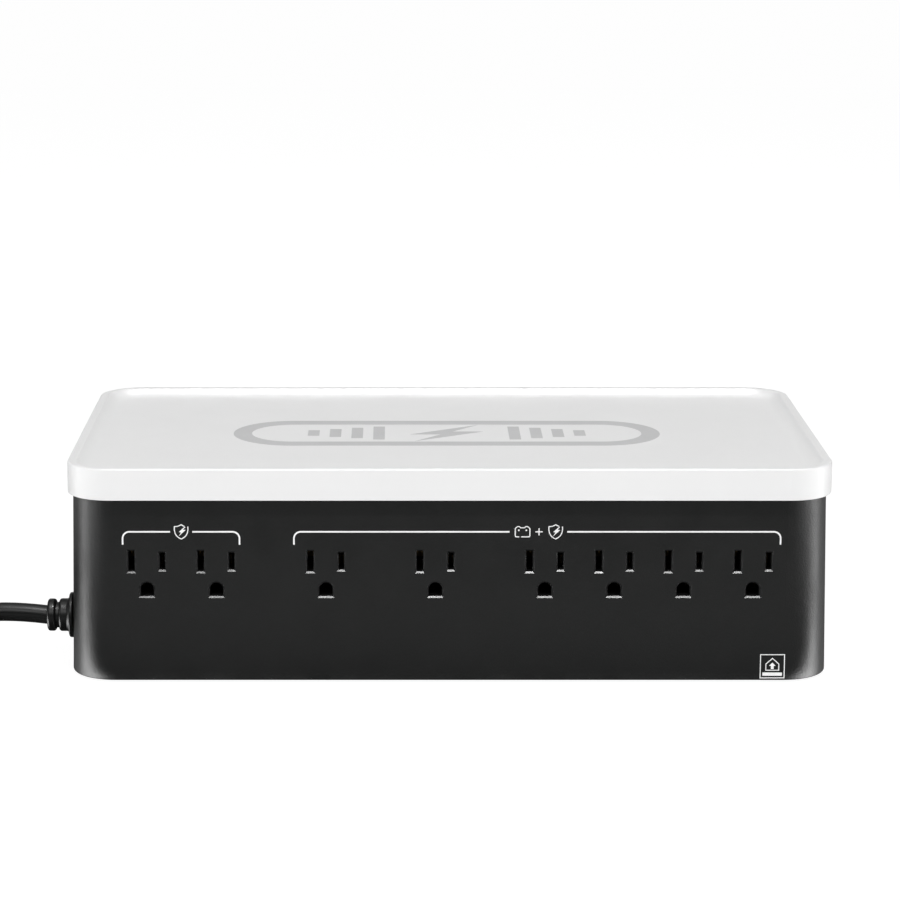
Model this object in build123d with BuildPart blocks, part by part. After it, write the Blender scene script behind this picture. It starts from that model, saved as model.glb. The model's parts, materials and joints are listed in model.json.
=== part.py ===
from build123d import *
import os
from math import atan2, cos, degrees, pi, radians, tan

os.makedirs("parts", exist_ok=True)

# ------------------------------------------------------------------ driving dimensions, mm
# The origin is the middle of the footprint on the surface the unit stands on, +Z is up, the
# outlets face -Y, and the button and the charging ports face +Y, towards the user.
cover_length = 316.0
cover_depth = 175.0
cover_corner = 19.0
total_height = 90.7
skirt_height = 13.3
cover_wall = 2.0
cover_overhang = 2.2
cover_round = 0.8
rim_width = 3.8
tray_depth = 3.5
tray_fillet = 6.0
tray_plate = 2.2

foot_gap = 1.0
housing_wall = 2.5
housing_flare = 1.7
housing_corner = 17.6
bottom_round = 0.8
base_thickness = 2.5
fit_gap = 0.2

first_group_x = (-124.5, -96.0)
second_group_x = (-51.0, -6.0, 39.0, 67.5, 96.0, 124.5)
blade_z = 51.5
blade_spread = 12.7
ground_drop = 11.89
pocket_wall = 2.0
pocket_floor = 2.5
breaker_hole_radius = 5.1
entry_hole_radius = 5.6
cut_depth = 6.0
button_gap = 0.3
light_window = (9.4, 3.4)
usb_window = (14.0, 7.0, 0.6)
jack_window = (12.6, 11.0)
vent_slot = (26.0, 2.6)
vent_pitch = 6.0
vent_z = 45.0
right_vent_y = 40.0
right_vents = 9
left_vent_y = 44.0
left_vents = 8
neutral_slot = (2.6, 8.7)
line_slot = (2.2, 7.2)
ground_slot = (5.5, 5.7)
slot_bevel = 0.65

entry_y = -61.0
entry_z = 22.0
cord_diameter = 7.9
cord_length = 1524.0


# ------------------------------------------------------------------ derived places
seat_z = total_height - tray_depth - tray_plate
skirt_z = total_height - skirt_height
housing_height = seat_z - foot_gap
top_length = cover_length - 2 * cover_overhang
top_depth = cover_depth - 2 * cover_overhang
base_length = top_length + 2 * housing_flare
base_depth = top_depth + 2 * housing_flare
base_corner = housing_corner + housing_flare
draft = degrees(atan2(housing_flare, housing_height))
floor_z = foot_gap + base_thickness
ground_z = blade_z - ground_drop
outlet_x = first_group_x + second_group_x


def wall_y(z):
    """Distance from the middle to the outer face of the long walls at a height."""
    return base_depth / 2 - housing_flare * (z - foot_gap) / housing_height


def wall_x(z):
    """Distance from the middle to the outer face of the short walls at a height."""
    return base_length / 2 - housing_flare * (z - foot_gap) / housing_height


def ground_outline(width, height):
    """A ground opening in the current sketch: flat below and round above."""
    radius = width / 2
    with Locations((0, height / 2 - radius)):
        Circle(radius)
    with Locations((0, -radius / 2)):
        Rectangle(width, height - radius)


# ------------------------------------------------------------------ screw posts, hooks, bosses
post_radius = 4.5
post_top = 42.0
corner_reach = 12.9 * cos(pi / 4)
post_x = base_length / 2 - base_corner + corner_reach
post_y = base_depth / 2 - base_corner + corner_reach
post_points = [(sx * post_x, sy * post_y) for sx in (-1, 1) for sy in (-1, 1)]
post_points += [(-73.5, -80.0), (-30.0, 80.0)]
screw_hole = 2.6
hook_points_long = (-110.0, -35.0, 35.0, 110.0)
hook_points_short = (-40.0, 40.0)
hook_width = 12.0
hook_z = 79.6
block_boss_z = 67.0
block_boss_x = (-124.5, -96.0, -28.5, 53.25, 110.25)

# Battery, its door and the opening in the base.
battery_x = 64.0
battery_length = 151.0
battery_front = -25.0
battery_height = 94.0
battery_width = 65.0
battery_z = 3.7
door_front = -33.5
door_back = 70.5
door_start = -15.0
door_tongue = 1.5
door_ledge = 1.1
door_gap = 0.3

# Side and front openings.
breaker_y = 5.0
breaker_z = 50.0
breaker_pocket = 18.0
breaker_pocket_depth = 3.5
button_x = -100.0
button_z = 50.0
button_radius = 7.0
light_x = -82.0
usb_x = (-66.0, -46.0)
usb_z = 50.0
jack_y = (-49.8, -34.2)
jack_z = 37.0

# ------------------------------------------------------------------ top cover
tray_margin = tray_fillet - (tray_fillet**2 - (tray_fillet - tray_depth) ** 2) ** 0.5
tray_inset = 2 * (rim_width - tray_margin)
with BuildPart() as tray_cutter:
    with BuildSketch(Plane.XY.offset(total_height - tray_depth)):
        RectangleRounded(
            cover_length - tray_inset, cover_depth - tray_inset, cover_corner - tray_inset / 2
        )
    extrude(amount=tray_fillet + 2)
    fillet(tray_cutter.edges().group_by(Axis.Z)[0], tray_fillet)

with BuildPart() as top_cover:
    with BuildSketch(Plane.XY.offset(skirt_z)):
        RectangleRounded(cover_length, cover_depth, cover_corner)
    extrude(amount=skirt_height)
    with BuildSketch(Plane.XY.offset(skirt_z)):
        RectangleRounded(
            cover_length - 2 * cover_wall,
            cover_depth - 2 * cover_wall,
            cover_corner - cover_wall,
        )
    extrude(amount=seat_z - skirt_z, mode=Mode.SUBTRACT)
    add(tray_cutter.part, mode=Mode.SUBTRACT)
    fillet(top_cover.edges().group_by(Axis.Z)[-1], cover_round)
    skirt_edges = top_cover.edges().group_by(Axis.Z)[0]
    fillet(skirt_edges.sort_by(SortBy.DISTANCE)[len(skirt_edges) // 2 :], 0.4)
    # Snap hooks inside the walls of the housing, with barbs in its windows.
    for side in (-1, 1):
        hook_y = side * (wall_y(hook_z) - housing_wall - 1.2)
        barb_y = side * (wall_y(hook_z) - housing_wall + 0.4)
        for x in hook_points_long:
            with Locations((x, hook_y, (seat_z + 78) / 2)):
                Box(hook_width, 1.6, seat_z - 78)
            with Locations((x, barb_y, hook_z)):
                Box(hook_width, 1.8, 1.6)
        hook_x = side * (wall_x(hook_z) - housing_wall - 1.2)
        barb_x = side * (wall_x(hook_z) - housing_wall + 0.4)
        for y in hook_points_short:
            with Locations((hook_x, y, (seat_z + 78) / 2)):
                Box(1.6, hook_width, seat_z - 78)
            with Locations((barb_x, y, hook_z)):
                Box(1.8, hook_width, 1.6)
top_cover.part.label = "top_cover"
export_step(top_cover.part, "parts/top_cover.step")

# ------------------------------------------------------------------ housing
with BuildPart() as housing:
    with BuildSketch(Plane.XY.offset(foot_gap)):
        RectangleRounded(base_length, base_depth, base_corner)
    extrude(amount=housing_height, taper=draft)
    fillet(housing.edges().group_by(Axis.Z)[0], bottom_round)
    with BuildSketch(Plane.XY.offset(foot_gap)):
        RectangleRounded(
            base_length - 2 * housing_wall,
            base_depth - 2 * housing_wall,
            base_corner - housing_wall,
        )
    extrude(amount=housing_height, taper=draft, mode=Mode.SUBTRACT)
    # Screw posts for the base.
    with BuildSketch(Plane.XY.offset(floor_z + 1.5)):
        with Locations(*post_points):
            Circle(post_radius)
    extrude(amount=post_top - floor_z - 1.5)
    with BuildSketch(Plane.XY.offset(floor_z + 1.5)):
        with Locations(*post_points):
            Circle(screw_hole / 2)
    extrude(amount=14, mode=Mode.SUBTRACT)
    # Bosses that carry the outlet blocks.
    with BuildSketch(Plane.XZ.offset(72.0)):
        with Locations(*[(x, block_boss_z) for x in block_boss_x]):
            Circle(3.5)
    extrude(amount=12.5)
    with BuildSketch(Plane.XZ.offset(72.0)):
        with Locations(*[(x, block_boss_z) for x in block_boss_x]):
            Circle(1.1)
    extrude(amount=9, mode=Mode.SUBTRACT)
    # Outlet slots through the wall, their outer rims bevelled to guide a plug.
    with BuildSketch(Plane.XZ.offset(wall_y(blade_z) - 5)):
        with Locations(*[(x, blade_z) for x in outlet_x]):
            with Locations((-blade_spread / 2, 0)):
                Rectangle(*neutral_slot)
            with Locations((blade_spread / 2, 0)):
                Rectangle(*line_slot)
            with Locations((0, -ground_drop)):
                ground_outline(*ground_slot)
    extrude(amount=8, mode=Mode.SUBTRACT)
    outlet_face = housing.faces().filter_by(GeomType.PLANE).sort_by(Axis.Y)[0]
    chamfer([edge for rim in outlet_face.inner_wires() for edge in rim.edges()], slot_bevel)
    # Windows for the snap hooks of the cover.
    for x in hook_points_long:
        with Locations((x, 0, hook_z + 0.1)):
            Box(hook_width + 0.6, 2 * base_depth, 2.4, mode=Mode.SUBTRACT)
    for y in hook_points_short:
        with Locations((0, y, hook_z + 0.1)):
            Box(2 * base_length, hook_width + 0.6, 2.4, mode=Mode.SUBTRACT)
    # Pocket for the breaker, backed by a cup, and its panel hole.
    with BuildSketch(Plane.YZ.offset(-wall_x(breaker_z) + breaker_pocket_depth)):
        with Locations((breaker_y, breaker_z)):
            Circle(breaker_pocket / 2 + pocket_wall)
    extrude(amount=pocket_floor)
    with BuildSketch(Plane.YZ.offset(-wall_x(breaker_z) + breaker_pocket_depth)):
        with Locations((breaker_y, breaker_z)):
            Circle(breaker_pocket / 2 + pocket_wall)
            Circle(breaker_pocket / 2, mode=Mode.SUBTRACT)
    extrude(amount=-pocket_floor)
    with BuildSketch(Plane.YZ.offset(-wall_x(breaker_z) + breaker_pocket_depth)):
        with Locations((breaker_y, breaker_z)):
            Circle(breaker_pocket / 2)
    extrude(amount=-8, mode=Mode.SUBTRACT)
    with BuildSketch(Plane.YZ.offset(-wall_x(breaker_z) + 1)):
        with Locations((breaker_y, breaker_z)):
            Circle(breaker_hole_radius)
        with Locations((entry_y, entry_z)):
            Circle(entry_hole_radius)
    extrude(amount=cut_depth, both=True, mode=Mode.SUBTRACT)
    # Button, light and charging openings towards the user.
    with BuildSketch(Plane.XZ.offset(-wall_y(button_z))):
        with Locations((button_x, button_z)):
            Circle(button_radius + button_gap)
        with Locations((light_x, button_z)):
            SlotOverall(*light_window, rotation=90)
        with Locations(*[(x, usb_z) for x in usb_x]):
            RectangleRounded(*usb_window)
    extrude(amount=5, both=True, mode=Mode.SUBTRACT)
    # Network jack openings and the vents on the short walls.
    with BuildSketch(Plane.YZ.offset(wall_x(jack_z))):
        with Locations(*[(y, jack_z) for y in jack_y]):
            Rectangle(*jack_window)
        with Locations((right_vent_y, vent_z)):
            with GridLocations(vent_pitch, 1, right_vents, 1):
                SlotOverall(*vent_slot, rotation=90)
    extrude(amount=cut_depth, both=True, mode=Mode.SUBTRACT)
    with BuildSketch(Plane.YZ.offset(-wall_x(vent_z))):
        with Locations((left_vent_y, vent_z)):
            with GridLocations(vent_pitch, 1, left_vents, 1):
                SlotOverall(*vent_slot, rotation=90)
    extrude(amount=cut_depth, both=True, mode=Mode.SUBTRACT)
    # Notch that the end of the battery door slides through.
    with Locations((base_length / 2, (door_front + door_back) / 2, floor_z / 2)):
        Box(24, door_back - door_front + 2 * (door_tongue + door_gap), floor_z, mode=Mode.SUBTRACT)
housing.part.label = "housing"
export_step(housing.part, "parts/housing.step")

# ------------------------------------------------------------------ base plate
inner_length = base_length - 2 * housing_wall - 2 * fit_gap - 0.2
inner_depth = base_depth - 2 * housing_wall - 2 * fit_gap - 0.2
door_mid = (door_front + door_back) / 2
door_width = door_back - door_front
groove_width = door_width + 2 * (door_tongue + door_gap)
foot_points = [(sx * 128.0, sy * 77.6) for sx in (-1, 1) for sy in (-1, 1)]
boss_step = 0.8
boss_height = 1.5
screw_head_hole = 3.3
screw_head_depth = 2.4
screw_shank_hole = 1.7
keyhole_x = (-100.0, 100.0)
keyhole_y = -52.0
with BuildPart() as base_plate:
    with BuildSketch(Plane.XY.offset(foot_gap)):
        RectangleRounded(inner_length, inner_depth, base_corner - housing_wall - fit_gap)
    extrude(amount=base_thickness)
    with BuildSketch(Plane.XY.offset(floor_z)):
        with Locations(*post_points):
            Circle(post_radius - boss_step)
    extrude(amount=boss_height)
    with BuildSketch(Plane.XY.offset(foot_gap)):
        with Locations(*post_points):
            Circle(screw_head_hole)
    extrude(amount=screw_head_depth, mode=Mode.SUBTRACT)
    with BuildSketch(Plane.XY.offset(foot_gap)):
        with Locations(*post_points):
            Circle(screw_shank_hole)
    extrude(amount=cut_depth, mode=Mode.SUBTRACT)
    # Standoffs of the main board.
    with BuildSketch(Plane.XY.offset(floor_z)):
        with Locations((-81, 21)):
            with GridLocations(112, 88, 2, 2):
                Circle(3.0)
    extrude(amount=6.5)
    with BuildSketch(Plane.XY.offset(floor_z + 0.5)):
        with Locations((-81, 21)):
            with GridLocations(112, 88, 2, 2):
                Circle(1.1)
    extrude(amount=6.5, mode=Mode.SUBTRACT)
    # Opening of the battery door, open towards +X: ledges below, grooves above.
    with Locations((door_start - door_gap + 100, door_mid, foot_gap + door_ledge / 2)):
        Box(200, door_width + 2 * door_gap, door_ledge, mode=Mode.SUBTRACT)
    with Locations((door_start - door_tongue - door_gap + 100, door_mid, foot_gap + door_ledge + 1)):
        Box(200, groove_width, 2, mode=Mode.SUBTRACT)
    # Keyholes to hang the unit on two screws.
    with BuildSketch(Plane.XY.offset(foot_gap)):
        with Locations(*[(x, keyhole_y) for x in keyhole_x]):
            Circle(4.5)
            with Locations((0, 6.0)):
                SlotCenterToCenter(8.0, 4.6, rotation=90)
    extrude(amount=base_thickness, mode=Mode.SUBTRACT)
    # Shallow seats of the feet.
    with BuildSketch(Plane.XY.offset(foot_gap)):
        with Locations(*foot_points):
            Circle(5.1)
    extrude(amount=0.8, mode=Mode.SUBTRACT)
    # Vents below the main board.
    with BuildSketch(Plane.XY.offset(foot_gap)):
        with Locations((-82, 20)):
            with GridLocations(7.0, 34.0, 12, 2):
                SlotOverall(28.0, 2.8, rotation=90)
    extrude(amount=base_thickness, mode=Mode.SUBTRACT)
base_plate.part.label = "base_plate"
export_step(base_plate.part, "parts/base_plate.step")

# ------------------------------------------------------------------ battery door
door_end = wall_x(foot_gap) - 0.4
with BuildPart() as battery_door:
    with Locations(((door_start + door_end) / 2, door_mid, foot_gap + 1.1)):
        Box(door_end - door_start, door_width, 2.2)
    fillet(battery_door.edges().filter_by(Axis.Y).group_by(Axis.X)[-1].group_by(Axis.Z)[0], 0.7)
    for side in (-1, 1):
        tongue_y = door_mid + side * (door_width + door_tongue) / 2
        with Locations(((door_start + 148) / 2, tongue_y, foot_gap + 1.8)):
            Box(148 - door_start, door_tongue, 0.8)
    with Locations((door_start - door_tongue / 2, door_mid, foot_gap + 1.8)):
        Box(door_tongue, door_width, 0.8)
    # Grip grooves and the slot that frees the latch tongue.
    with Locations((132, door_mid, foot_gap)):
        with GridLocations(3.2, 1, 6, 1):
            Box(1.4, 34, 1.2, mode=Mode.SUBTRACT)
    with Locations((112, door_mid - 9, foot_gap + 1), (112, door_mid + 9, foot_gap + 1)):
        Box(16, 1.2, 4, mode=Mode.SUBTRACT)
    with Locations((104.6, door_mid, foot_gap + 1)):
        Box(1.2, 19.2, 4, mode=Mode.SUBTRACT)
battery_door.part.label = "battery_door"
export_step(battery_door.part, "parts/battery_door.step")

# ------------------------------------------------------------------ feet and screws
with BuildPart() as rubber_feet:
    with BuildSketch(Plane.XY):
        with Locations(*foot_points):
            Circle(4.9)
    extrude(amount=foot_gap + 0.8)
    fillet(rubber_feet.edges().group_by(Axis.Z)[0], 0.4)
rubber_feet.part.label = "rubber_feet"
export_step(rubber_feet.part, "parts/rubber_feet.step")


def screws_up(points, seat, head_radius, shank_radius, length):
    """Pan head screws pointing up, their heads hanging below the seat height."""
    with BuildSketch(Plane.XY.offset(seat)) as heads:
        with Locations(*points):
            Circle(head_radius)
    extrude(heads.sketch, amount=-1.8)
    with BuildSketch(Plane.XY.offset(seat)) as shanks:
        with Locations(*points):
            Circle(shank_radius)
    extrude(shanks.sketch, amount=length)
    with Locations(*[(x, y, seat - 1.8) for x, y in points]):
        Box(3.4, 0.8, 1.6, mode=Mode.SUBTRACT)
        Box(0.8, 3.4, 1.6, mode=Mode.SUBTRACT)


with BuildPart() as base_screws:
    screws_up(post_points, foot_gap + 2.4, 3.0, 1.25, 14)
base_screws.part.label = "base_screws"
export_step(base_screws.part, "parts/base_screws.step")

# ------------------------------------------------------------------ outlet blocks
block_front = 82.9
block_back = 61.0
block_low = 34.0
block_high = 62.0


def outlet_block(points, left, right, ears):
    """The insulating body behind a group of outlets, with its slots and contact pockets."""
    with Locations(((left + right) / 2, -(block_front + block_back) / 2, (block_low + block_high) / 2)):
        Box(right - left, block_front - block_back, block_high - block_low)
    with BuildSketch(Plane.XZ.offset(69.0)) as ear_plates:
        with Locations(*[(x, 65.5) for x in ears]):
            RectangleRounded(9.0, 10.0, 2.0)
    extrude(ear_plates.sketch, amount=3.0)
    with BuildSketch(Plane.XZ.offset(69.0)) as ear_holes:
        with Locations(*[(x, block_boss_z) for x in ears]):
            Circle(1.4)
    extrude(ear_holes.sketch, amount=3.0, mode=Mode.SUBTRACT)
    with BuildSketch(Plane.XZ.offset(block_back)) as pockets:
        with Locations(*[(x, blade_z) for x in points]):
            with Locations((-blade_spread / 2, 0), (blade_spread / 2, 0)):
                Rectangle(5.0, 10.5)
            with Locations((0, -ground_drop)):
                Rectangle(8.6, 8.0)
    extrude(pockets.sketch, amount=block_front - block_back - 2.5, mode=Mode.SUBTRACT)
    with BuildSketch(Plane.XZ.offset(block_back)) as slots:
        with Locations(*[(x, blade_z) for x in points]):
            with Locations((-blade_spread / 2, 0)):
                Rectangle(*neutral_slot)
            with Locations((blade_spread / 2, 0)):
                Rectangle(*line_slot)
            with Locations((0, -ground_drop)):
                ground_outline(*ground_slot)
    extrude(slots.sketch, amount=block_front - block_back, mode=Mode.SUBTRACT)


first_ends = (-140.0, -81.0)
second_ends = (-66.0, 140.0)
with BuildPart() as outlet_block_surge:
    outlet_block(first_group_x, *first_ends, block_boss_x[:2])
outlet_block_surge.part.label = "outlet_block_surge"
export_step(outlet_block_surge.part, "parts/outlet_block_surge.step")

with BuildPart() as outlet_block_backup:
    outlet_block(second_group_x, *second_ends, block_boss_x[2:])
outlet_block_backup.part.label = "outlet_block_backup"
export_step(outlet_block_backup.part, "parts/outlet_block_backup.step")

# Rear covers that close the blocks behind the contacts.
strip_thickness = 0.8
with BuildPart() as outlet_block_covers:
    for left, right in (first_ends, second_ends):
        with Locations(((left + right) / 2, 1.2 - block_back + 0.9, (block_low + block_high) / 2)):
            Box(right - left, 1.8, block_high - block_low)
    fillet(outlet_block_covers.edges().filter_by(Axis.Y), 1.0)
outlet_block_covers.part.label = "outlet_block_covers"
export_step(outlet_block_covers.part, "parts/outlet_block_covers.step")


def contact_strips(shift, low, height, gap, reach):
    """Two brass bus strips, one per block, with a pair of leaves at every outlet."""
    for points, left, right in (
        (first_group_x, first_ends[0] + 4, first_ends[1] - 4),
        (second_group_x, second_ends[0] + 4, second_ends[1] - 4),
    ):
        with Locations(((left + right) / 2, strip_thickness / 2 - block_back, low + height / 2)):
            Box(right - left, strip_thickness, height)
        for x in points:
            for side in (-1, 1):
                leaf_x = x + shift + side * (gap / 2 + 0.3)
                with Locations((leaf_x, -block_back - reach / 2, low + height / 2)):
                    Box(0.6, reach, height)


with BuildPart() as neutral_contacts:
    contact_strips(-blade_spread / 2, 52.0, 3.6, 1.2, 12.0)
neutral_contacts.part.label = "neutral_contacts"
export_step(neutral_contacts.part, "parts/neutral_contacts.step")

with BuildPart() as line_contacts:
    contact_strips(blade_spread / 2, 47.4, 3.6, 1.2, 12.0)
line_contacts.part.label = "line_contacts"
export_step(line_contacts.part, "parts/line_contacts.step")

with BuildPart() as ground_contacts:
    contact_strips(0, ground_z - 2.4, 4.8, 4.6, 10.0)
ground_contacts.part.label = "ground_contacts"
export_step(ground_contacts.part, "parts/ground_contacts.step")

# The small screws inside: five hold the outlet blocks and four the main board.
board_z = floor_z + 6.5
board_top = board_z + 1.6
with BuildPart() as inner_screws:
    with BuildSketch(Plane.XZ.offset(69.0)):
        with Locations(*[(x, block_boss_z) for x in block_boss_x]):
            Circle(2.6)
    extrude(amount=-1.6)
    with BuildSketch(Plane.XZ.offset(69.0)):
        with Locations(*[(x, block_boss_z) for x in block_boss_x]):
            Circle(1.05)
    extrude(amount=7)
    with BuildSketch(Plane.XY.offset(board_top)):
        with Locations((-81, 21)):
            with GridLocations(112, 88, 2, 2):
                Circle(2.6)
    extrude(amount=1.6)
    with BuildSketch(Plane.XY.offset(board_top)):
        with Locations((-81, 21)):
            with GridLocations(112, 88, 2, 2):
                Circle(1.05)
    extrude(amount=-7)
inner_screws.part.label = "inner_screws"
export_step(inner_screws.part, "parts/inner_screws.step")

# ------------------------------------------------------------------ battery
battery_mid_y = battery_front + battery_height / 2
battery_mid_z = battery_z + battery_width / 2
lid_deep = 6.0
with BuildPart() as battery_case:
    with Locations((battery_x, battery_mid_y + lid_deep / 2, battery_mid_z)):
        Box(battery_length, battery_height - lid_deep, battery_width)
    fillet(battery_case.edges().filter_by(Axis.Y), 2.0)
    with Locations((battery_x, battery_mid_y + lid_deep / 2 - 2.0, battery_mid_z)):
        Box(battery_length - 5, battery_height - lid_deep, battery_width - 5, mode=Mode.SUBTRACT)
battery_case.part.label = "battery_case"
export_step(battery_case.part, "parts/battery_case.step")

with BuildPart() as battery_lid:
    with Locations((battery_x, battery_front + lid_deep / 2, battery_mid_z)):
        Box(battery_length, lid_deep, battery_width)
    fillet(battery_lid.edges().filter_by(Axis.Y), 2.0)
    fillet(battery_lid.edges().group_by(Axis.Y)[0], 0.8)
    with Locations((battery_x, battery_front, battery_mid_z - 12)):
        Box(120, 2.4, 22, mode=Mode.SUBTRACT)
battery_lid.part.label = "battery_lid"
export_step(battery_lid.part, "parts/battery_lid.step")

plate_count = 6
with BuildPart() as battery_plates:
    with Locations((battery_x, battery_mid_y + 3, battery_mid_z)):
        with GridLocations(24.0, 1, 6, 1):
            with GridLocations(3.6, 1, plate_count, 1):
                Box(1.9, 76, 56)
battery_plates.part.label = "battery_plates"
export_step(battery_plates.part, "parts/battery_plates.step")

terminal_z = battery_z + 55.0
terminal_x = (battery_x - 67.0, battery_x + 67.0)
with BuildPart() as battery_terminals:
    with Locations(*[(x, battery_front - 3.2, terminal_z) for x in terminal_x]):
        Box(6.35, 6.4, 0.8)
battery_terminals.part.label = "battery_terminals"
export_step(battery_terminals.part, "parts/battery_terminals.step")

# ------------------------------------------------------------------ main board and what it carries
with BuildPart() as main_board:
    with BuildSketch(Plane.XY.offset(board_z)):
        with Locations((-81, 21)):
            RectangleRounded(122, 98, 1.5)
            with GridLocations(112, 88, 2, 2):
                Circle(1.6, mode=Mode.SUBTRACT)
    extrude(amount=1.6)
main_board.part.label = "main_board"
export_step(main_board.part, "parts/main_board.step")

core_x = -60.0
core_y = 12.0
core_base = board_top + 1.0
with BuildPart() as transformer_core:
    with Locations((core_x, core_y, core_base + 23)):
        Box(56, 20, 46)
        with Locations((-13.5, 0, 0), (13.5, 0, 0)):
            Box(10, 20, 34, mode=Mode.SUBTRACT)
    fillet(transformer_core.edges().filter_by(Axis.Y), 0.8)
transformer_core.part.label = "transformer_core"
export_step(transformer_core.part, "parts/transformer_core.step")

with BuildPart() as transformer_bobbin:
    with Locations((core_x, core_y, core_base + 23)):
        Box(18.8, 21.8, 32.8)
        with Locations((0, 0, -15.8), (0, 0, 15.8)):
            Box(35.0, 40, 1.2)
        Box(17.2, 20.2, 40, mode=Mode.SUBTRACT)
transformer_bobbin.part.label = "transformer_bobbin"
export_step(transformer_bobbin.part, "parts/transformer_bobbin.step")

with BuildPart() as transformer_winding:
    with Locations((core_x, core_y, core_base + 23)):
        Box(34.4, 38.4, 30.4)
        fillet(transformer_winding.edges().filter_by(Axis.Z), 4.0)
        Box(19.0, 22.0, 40, mode=Mode.SUBTRACT)
transformer_winding.part.label = "transformer_winding"
export_step(transformer_winding.part, "parts/transformer_winding.step")

sink_x = -84.0
with BuildPart() as heatsink:
    with Locations((sink_x, 46, board_top + 21)):
        Box(96, 4, 42)
    with Locations((sink_x, 54, board_top + 21)):
        with GridLocations(8.0, 1, 12, 1):
            Box(1.8, 12.4, 42)
heatsink.part.label = "heatsink"
export_step(heatsink.part, "parts/heatsink.step")

with BuildPart() as power_transistors:
    with Locations((sink_x - 8, 41.6, board_top + 13)):
        with GridLocations(14.0, 1, 5, 1):
            Box(10.2, 4.5, 9.2)
            with Locations((0, 1.6, 7.4)):
                Box(10.2, 1.3, 6.4)
            with Locations((-2.5, 0, -8.2), (0, 0, -8.2), (2.5, 0, -8.2)):
                Box(0.8, 0.6, 8.4)
power_transistors.part.label = "power_transistors"
export_step(power_transistors.part, "parts/power_transistors.step")

with BuildPart() as bulk_capacitors:
    with BuildSketch(Plane.XY.offset(board_top)):
        with Locations((-104, 24), (-129, 26)):
            Circle(9.0)
    extrude(amount=20)
    fillet(bulk_capacitors.edges().group_by(Axis.Z)[-1], 1.0)
bulk_capacitors.part.label = "bulk_capacitors"
export_step(bulk_capacitors.part, "parts/bulk_capacitors.step")

with BuildPart() as relays:
    with Locations(*[(x, -18, board_top + 7.8) for x in (-123, -100, -77)]):
        Box(19.0, 15.4, 15.6)
    fillet(relays.edges().filter_by(Axis.Z), 0.6)
relays.part.label = "relays"
export_step(relays.part, "parts/relays.step")

with BuildPart() as choke_core:
    with BuildSketch(Plane.XY.offset(board_top + 2)):
        with Locations((-127, 4)):
            Circle(8.4)
            Circle(5.0, mode=Mode.SUBTRACT)
    extrude(amount=7)
choke_core.part.label = "choke_core"
export_step(choke_core.part, "parts/choke_core.step")

with BuildPart() as choke_windings:
    for side in (-1, 1):
        with BuildSketch(Plane.XY.offset(board_top + 0.6)):
            with Locations((-127, 4)):
                Circle(10.2)
                Circle(3.2, mode=Mode.SUBTRACT)
                with Locations((side * -20 + side * 2.5, 0)):
                    Rectangle(40, 40, mode=Mode.SUBTRACT)
        extrude(amount=9.8)
    with BuildSketch(Plane.XY.offset(board_top + 1.9)):
        with Locations((-127, 4)):
            Circle(8.5)
            Circle(4.9, mode=Mode.SUBTRACT)
    extrude(amount=7.2, mode=Mode.SUBTRACT)
choke_windings.part.label = "choke_windings"
export_step(choke_windings.part, "parts/choke_windings.step")

with BuildPart() as line_capacitor:
    with Locations((-101, 2, board_top + 9)):
        Box(26, 10, 18)
    fillet(line_capacitor.edges().group_by(Axis.Z)[-1], 0.8)
line_capacitor.part.label = "line_capacitor"
export_step(line_capacitor.part, "parts/line_capacitor.step")

with BuildPart() as varistors:
    for x in (-60, -52, -44):
        with BuildSketch(Plane.YZ.offset(x)):
            with Locations((-17, board_top + 10)):
                Circle(7.0)
        extrude(amount=4.4)
        with Locations((x + 2.2, -20, board_top + 2), (x + 2.2, -14, board_top + 2)):
            Box(0.8, 0.8, 4)
varistors.part.label = "varistors"
export_step(varistors.part, "parts/varistors.step")

with BuildPart() as battery_fuse_holder:
    with Locations((-27, 26, board_top + 4)):
        Box(8.0, 22, 8)
        with Locations((0, 0, 1)):
            Box(5.4, 19.6, 8, mode=Mode.SUBTRACT)
battery_fuse_holder.part.label = "battery_fuse_holder"
export_step(battery_fuse_holder.part, "parts/battery_fuse_holder.step")

with BuildPart() as battery_fuse:
    with Locations((-27, 26, board_top + 10.4)):
        Box(4.6, 19, 10)
    with Locations((-27, 19, board_top + 3.6), (-27, 33, board_top + 3.6)):
        Box(0.7, 5.2, 4.6)
battery_fuse.part.label = "battery_fuse"
export_step(battery_fuse.part, "parts/battery_fuse.step")

with BuildPart() as buzzer:
    with BuildSketch(Plane.XY.offset(board_top)):
        with Locations((-29, 56)):
            Circle(6.0)
    extrude(amount=9.0)
    fillet(buzzer.edges().group_by(Axis.Z)[-1], 0.8)
    with Locations((-29, 56, board_top + 9)):
        Cylinder(1.1, 3, mode=Mode.SUBTRACT)
buzzer.part.label = "buzzer"
export_step(buzzer.part, "parts/buzzer.step")

with BuildPart() as control_chips:
    with Locations((-27, -4, board_top + 0.8)):
        Box(10, 10, 1.4)
    with Locations((-33, -14, board_top + 0.9)):
        Box(6, 9, 1.6)
control_chips.part.label = "control_chips"
export_step(control_chips.part, "parts/control_chips.step")

# ------------------------------------------------------------------ button board, button and ports
panel_y = 70.0
with BuildPart() as panel_board:
    with Locations((-73, panel_y - 0.8, 49)):
        Box(78, 1.6, 30)
        with Locations((-34, 0, 11), (34, 0, 11)):
            Box(3.2, 4, 3.2, mode=Mode.SUBTRACT)
panel_board.part.label = "panel_board"
export_step(panel_board.part, "parts/panel_board.step")

with BuildPart() as power_switch:
    with Locations((button_x, panel_y + 1.8, button_z)):
        Box(6.0, 3.6, 6.0)
    with BuildSketch(Plane.XZ.offset(-panel_y - 2.0)):
        with Locations((button_x, button_z)):
            Circle(1.85)
    extrude(amount=-1.6, mode=Mode.SUBTRACT)
power_switch.part.label = "power_switch"
export_step(power_switch.part, "parts/power_switch.step")

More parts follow.
